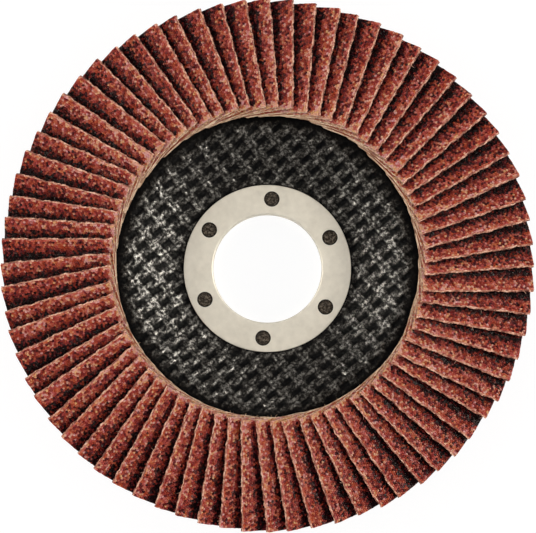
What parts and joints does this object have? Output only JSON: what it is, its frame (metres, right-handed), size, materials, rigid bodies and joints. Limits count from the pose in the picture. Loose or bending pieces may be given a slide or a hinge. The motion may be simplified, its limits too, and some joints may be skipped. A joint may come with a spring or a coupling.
{
  "type": "flap disc",
  "caption": "Conical grinding disc: curved strips of abrasive cloth overlap in a ring on a fibreglass plate with a dished hub and a steel-ringed bore.",
  "frame": {"origin": "centre of the bore on the rear face of the hub, where the grinder's flange seats", "axes": "+Z along the bore axis towards the working side; the picture's up is +Y and its right is +X"},
  "size_m": [0.1102, 0.1102, 0.0174],
  "materials": {
    "glass_laminate": "black phenolic resin over woven glass",
    "zinc_steel": "dull zinc-coated sheet steel",
    "epoxy": "tan filled epoxy",
    "abrasive_cloth": "cloth coated with red-brown abrasive grain"
  },
  "bodies": {
    "root": {"backing_plate": "glass_laminate", "arbor_ring": "zinc_steel", "adhesive": "epoxy", "flap_pair_01": "abrasive_cloth", "flap_pair_02": "abrasive_cloth", "flap_pair_03": "abrasive_cloth", "flap_pair_04": "abrasive_cloth", "flap_pair_05": "abrasive_cloth", "flap_pair_06": "abrasive_cloth", "flap_pair_07": "abrasive_cloth", "flap_pair_08": "abrasive_cloth", "flap_pair_09": "abrasive_cloth", "flap_pair_10": "abrasive_cloth", "flap_pair_11": "abrasive_cloth", "flap_pair_12": "abrasive_cloth", "flap_pair_13": "abrasive_cloth", "flap_pair_14": "abrasive_cloth", "flap_pair_15": "abrasive_cloth", "flap_pair_16": "abrasive_cloth", "flap_pair_17": "abrasive_cloth", "flap_pair_18": "abrasive_cloth", "flap_pair_19": "abrasive_cloth", "flap_pair_20": "abrasive_cloth", "flap_pair_21": "abrasive_cloth", "flap_pair_22": "abrasive_cloth", "flap_pair_23": "abrasive_cloth", "flap_pair_24": "abrasive_cloth", "flap_pair_25": "abrasive_cloth", "flap_pair_26": "abrasive_cloth", "flap_pair_27": "abrasive_cloth", "flap_pair_28": "abrasive_cloth", "flap_pair_29": "abrasive_cloth", "flap_pair_30": "abrasive_cloth", "flap_pair_31": "abrasive_cloth", "flap_pair_32": "abrasive_cloth", "flap_pair_33": "abrasive_cloth", "flap_pair_34": "abrasive_cloth", "flap_pair_35": "abrasive_cloth", "flap_pair_36": "abrasive_cloth"}
  },
  "joints": []
}
